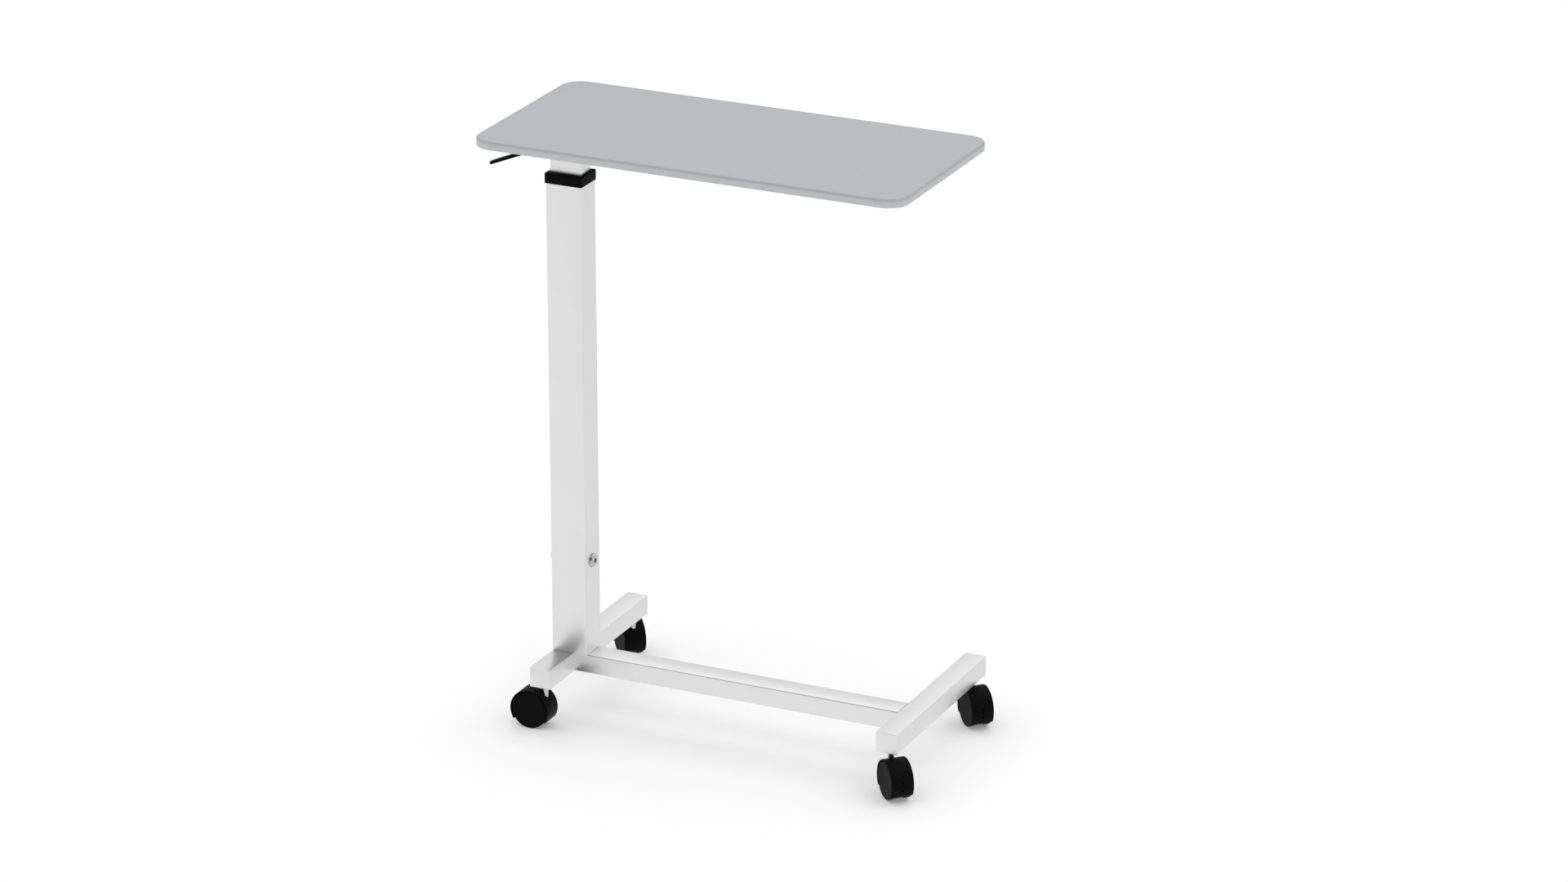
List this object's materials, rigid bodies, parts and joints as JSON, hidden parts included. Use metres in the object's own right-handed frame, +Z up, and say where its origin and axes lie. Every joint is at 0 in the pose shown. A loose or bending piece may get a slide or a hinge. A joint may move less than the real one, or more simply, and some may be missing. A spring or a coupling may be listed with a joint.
{
  "type": "overbed table",
  "caption": "Height-adjustable overbed table: rounded rectangular top on an offset telescopic column with a release lever, over an H-shaped base on hooded twin-wheel casters.",
  "frame": {"origin": "on the floor, at the middle of the table's footprint with its casters as pictured", "axes": "+Z up; +X from the column's end to the far end, along the base's beam; the front is towards -Y"},
  "size_m": [0.7625, 0.406, 0.949],
  "materials": {
    "laminate_grey": "matt grey laminate on board",
    "band_grey": "satin grey edge band",
    "silver_paint": "satin pale silver powder coat",
    "cap_plastic": "satin pale silver",
    "zinc_steel": "bright zinc plate",
    "dark_steel": "dark satin paint",
    "black_plastic": "satin black",
    "wheel_black": "matt black",
    "grey_plastic": "plain pale grey"
  },
  "bodies": {
    "base": {"left_foot": "silver_paint", "right_foot": "silver_paint", "cross_beam": "silver_paint", "left_foot_front_cap": "cap_plastic", "left_foot_rear_cap": "cap_plastic", "right_foot_front_cap": "cap_plastic", "right_foot_rear_cap": "cap_plastic", "outer_column": "silver_paint", "column_collar": "black_plastic", "gas_spring_cylinder": "dark_steel", "cross_bolt": "zinc_steel", "cross_bolt_nut": "zinc_steel", "eye_spacer_left": "grey_plastic", "eye_spacer_right": "grey_plastic", "caster_front_left_socket": "grey_plastic", "caster_front_left_stem": "zinc_steel", "caster_front_right_socket": "grey_plastic", "caster_front_right_stem": "zinc_steel", "caster_rear_right_socket": "grey_plastic", "caster_rear_right_stem": "zinc_steel", "caster_rear_left_socket": "grey_plastic", "caster_rear_left_stem": "zinc_steel"},
    "lift": {"inner_column": "silver_paint", "lower_guide": "grey_plastic", "gas_spring_rod": "zinc_steel", "rod_nut": "zinc_steel", "release_bracket": "dark_steel", "lever_pivot_pin": "zinc_steel", "mount_plate": "dark_steel", "support_rail_front": "dark_steel", "support_rail_rear": "dark_steel", "top_screw_1": "zinc_steel", "top_screw_2": "zinc_steel", "top_screw_3": "zinc_steel", "top_screw_4": "zinc_steel", "top_screw_5": "zinc_steel", "top_screw_6": "zinc_steel", "tabletop_board": "laminate_grey", "edge_band": "band_grey"},
    "lever": {"release_lever": "black_plastic"},
    "release_pin": {"release_pin": "zinc_steel"},
    "caster_front_left": {"caster_front_left_hood": "black_plastic", "caster_front_left_axle": "zinc_steel"},
    "caster_front_left_wheel_a": {"caster_front_left_wheel_a": "wheel_black"},
    "caster_front_left_wheel_b": {"caster_front_left_wheel_b": "wheel_black"},
    "caster_front_right": {"caster_front_right_hood": "black_plastic", "caster_front_right_axle": "zinc_steel"},
    "caster_front_right_wheel_a": {"caster_front_right_wheel_a": "wheel_black"},
    "caster_front_right_wheel_b": {"caster_front_right_wheel_b": "wheel_black"},
    "caster_rear_right": {"caster_rear_right_hood": "black_plastic", "caster_rear_right_axle": "zinc_steel"},
    "caster_rear_right_wheel_a": {"caster_rear_right_wheel_a": "wheel_black"},
    "caster_rear_right_wheel_b": {"caster_rear_right_wheel_b": "wheel_black"},
    "caster_rear_left": {"caster_rear_left_hood": "black_plastic", "caster_rear_left_axle": "zinc_steel"},
    "caster_rear_left_wheel_a": {"caster_rear_left_wheel_a": "wheel_black"},
    "caster_rear_left_wheel_b": {"caster_rear_left_wheel_b": "wheel_black"}
  },
  "joints": [
    {"name": "column_lift", "type": "slide", "parent": "base", "child": "lift", "axis": [0, 0, 1], "range_m": [-0.02, 0.26]},
    {"name": "lever_press", "type": "hinge", "parent": "lift", "child": "lever", "pos_m": [-0.261, -0.0685, 0.919], "axis": [0, 1, 0], "range_deg": [0, 8], "stiffness_Nm_per_rad": 1.5},
    {"name": "release_pin_press", "type": "slide", "parent": "lift", "child": "release_pin", "axis": [0, 0, -1], "range_m": [0, 0.0026]},
    {"name": "caster_front_left_swivel", "type": "hinge", "parent": "base", "child": "caster_front_left", "pos_m": [-0.2565, -0.153, 0.071], "axis": [0, 0, 1], "continuous": true},
    {"name": "caster_front_left_roll_a", "type": "hinge", "parent": "caster_front_left", "child": "caster_front_left_wheel_a", "pos_m": [-0.2765, -0.153, 0.03], "axis": [0, -1, 0], "continuous": true},
    {"name": "caster_front_left_roll_b", "type": "hinge", "parent": "caster_front_left", "child": "caster_front_left_wheel_b", "pos_m": [-0.2765, -0.153, 0.03], "axis": [0, -1, 0], "continuous": true},
    {"name": "caster_front_right_swivel", "type": "hinge", "parent": "base", "child": "caster_front_right", "pos_m": [0.3315, -0.153, 0.071], "axis": [0, 0, 1], "continuous": true},
    {"name": "caster_front_right_roll_a", "type": "hinge", "parent": "caster_front_right", "child": "caster_front_right_wheel_a", "pos_m": [0.34564, -0.16714, 0.03], "axis": [0.7071, 0.7071, 0], "continuous": true},
    {"name": "caster_front_right_roll_b", "type": "hinge", "parent": "caster_front_right", "child": "caster_front_right_wheel_b", "pos_m": [0.34564, -0.16714, 0.03], "axis": [0.7071, 0.7071, 0], "continuous": true},
    {"name": "caster_rear_right_swivel", "type": "hinge", "parent": "base", "child": "caster_rear_right", "pos_m": [0.3315, 0.153, 0.071], "axis": [0, 0, 1], "continuous": true},
    {"name": "caster_rear_right_roll_a", "type": "hinge", "parent": "caster_rear_right", "child": "caster_rear_right_wheel_a", "pos_m": [0.34564, 0.13886, 0.03], "axis": [0.7071, 0.7071, 0], "continuous": true},
    {"name": "caster_rear_right_roll_b", "type": "hinge", "parent": "caster_rear_right", "child": "caster_rear_right_wheel_b", "pos_m": [0.34564, 0.13886, 0.03], "axis": [0.7071, 0.7071, 0], "continuous": true},
    {"name": "caster_rear_left_swivel", "type": "hinge", "parent": "base", "child": "caster_rear_left", "pos_m": [-0.2565, 0.153, 0.071], "axis": [0, 0, 1], "continuous": true},
    {"name": "caster_rear_left_roll_a", "type": "hinge", "parent": "caster_rear_left", "child": "caster_rear_left_wheel_a", "pos_m": [-0.27064, 0.16714, 0.03], "axis": [-0.7071, -0.7071, 0], "continuous": true},
    {"name": "caster_rear_left_roll_b", "type": "hinge", "parent": "caster_rear_left", "child": "caster_rear_left_wheel_b", "pos_m": [-0.27064, 0.16714, 0.03], "axis": [-0.7071, -0.7071, 0], "continuous": true}
  ],
  "couplings": [
    {"joint": "release_pin_press", "follows": "lever_press", "m_per_rad": 0.0175}
  ]
}
